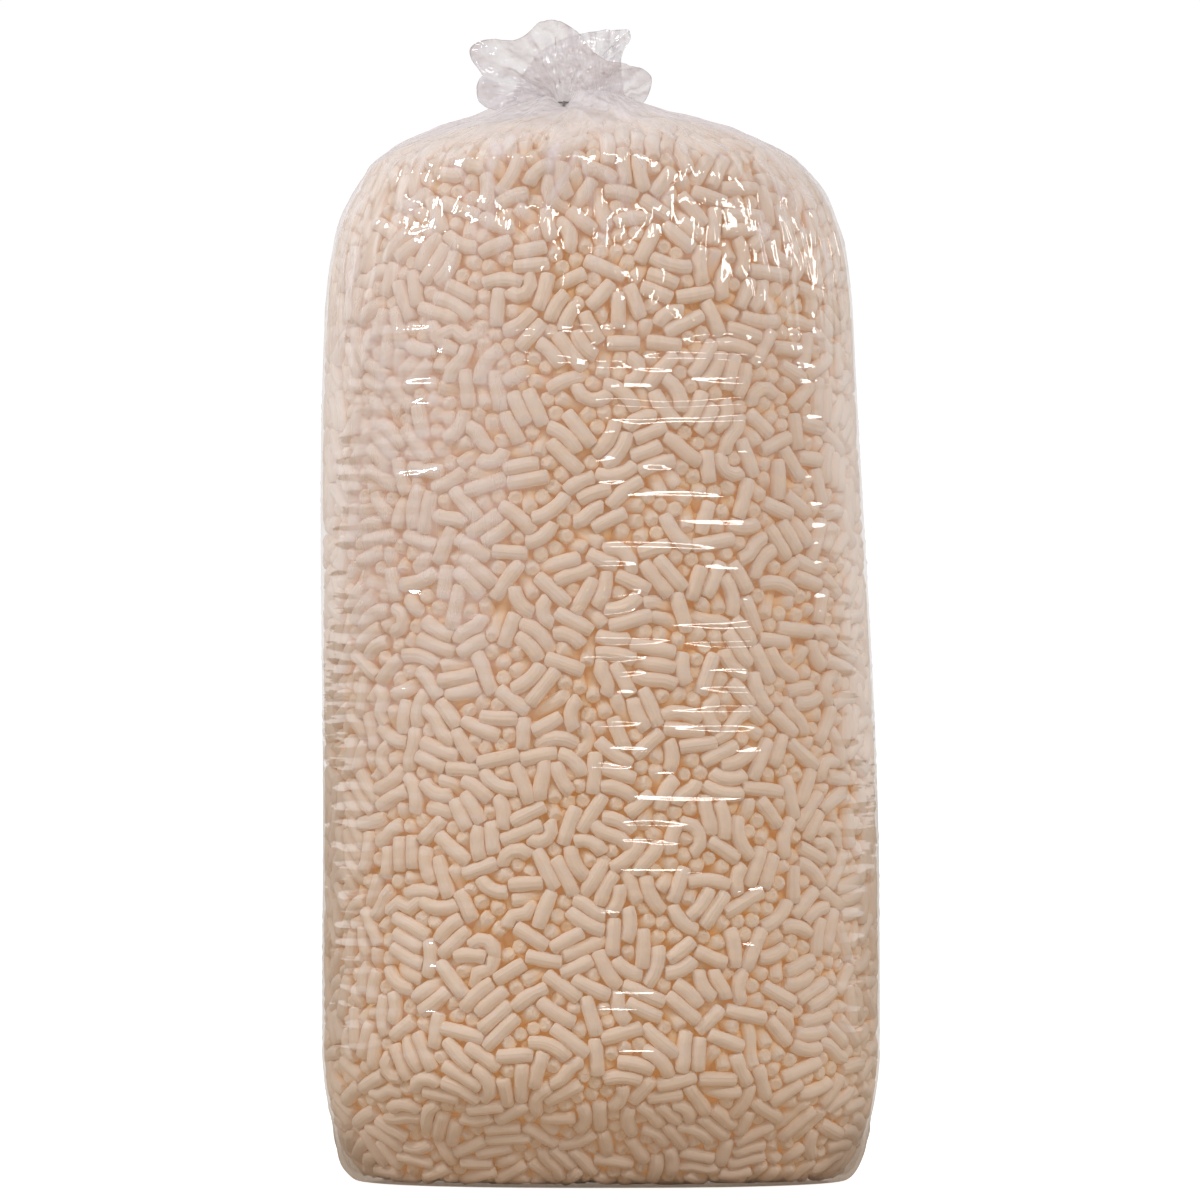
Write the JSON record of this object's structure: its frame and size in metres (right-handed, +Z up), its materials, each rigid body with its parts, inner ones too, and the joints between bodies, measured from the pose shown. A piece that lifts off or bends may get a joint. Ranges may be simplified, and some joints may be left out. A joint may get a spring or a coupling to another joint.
{
  "type": "packing peanut bag",
  "caption": "tall clear film bag filled with loose foam packing peanuts, flat sealed foot, rounded shoulders, gathered neck with a wire tie and a loose film topknot",
  "frame": {"origin": "on the floor, under the middle of the bag's footprint", "axes": "+Z up along the bag's height, X across its wide flat width, -Y its front, Y its depth"},
  "size_m": [0.5574, 0.432, 1.1581],
  "materials": {
    "film": "clear glossy polythene film",
    "foam": "matte expanded starch foam",
    "wire": "matte coated wire"
  },
  "bodies": {
    "root": {"film_bag": "film", "peanut_01": "foam", "peanut_02": "foam", "peanut_03": "foam", "peanut_04": "foam", "peanut_05": "foam", "peanut_06": "foam", "peanut_07": "foam", "peanut_08": "foam", "peanut_09": "foam", "peanut_10": "foam", "peanut_11": "foam", "peanut_12": "foam", "peanut_13": "foam", "peanut_14": "foam", "peanut_15": "foam", "peanut_16": "foam", "peanut_17": "foam", "peanut_18": "foam", "peanut_19": "foam", "peanut_20": "foam", "peanut_21": "foam", "peanut_22": "foam", "peanut_23": "foam", "peanut_24": "foam", "peanut_25": "foam", "peanut_26": "foam", "peanut_27": "foam", "peanut_28": "foam", "peanut_29": "foam", "peanut_30": "foam", "peanut_31": "foam", "peanut_32": "foam", "peanut_33": "foam", "peanut_34": "foam", "peanut_35": "foam", "peanut_36": "foam", "peanut_37": "foam", "peanut_38": "foam", "peanut_39": "foam", "peanut_40": "foam", "peanut_41": "foam", "peanut_42": "foam", "peanut_43": "foam", "peanut_load": "foam", "wire_tie": "wire"}
  },
  "joints": []
}
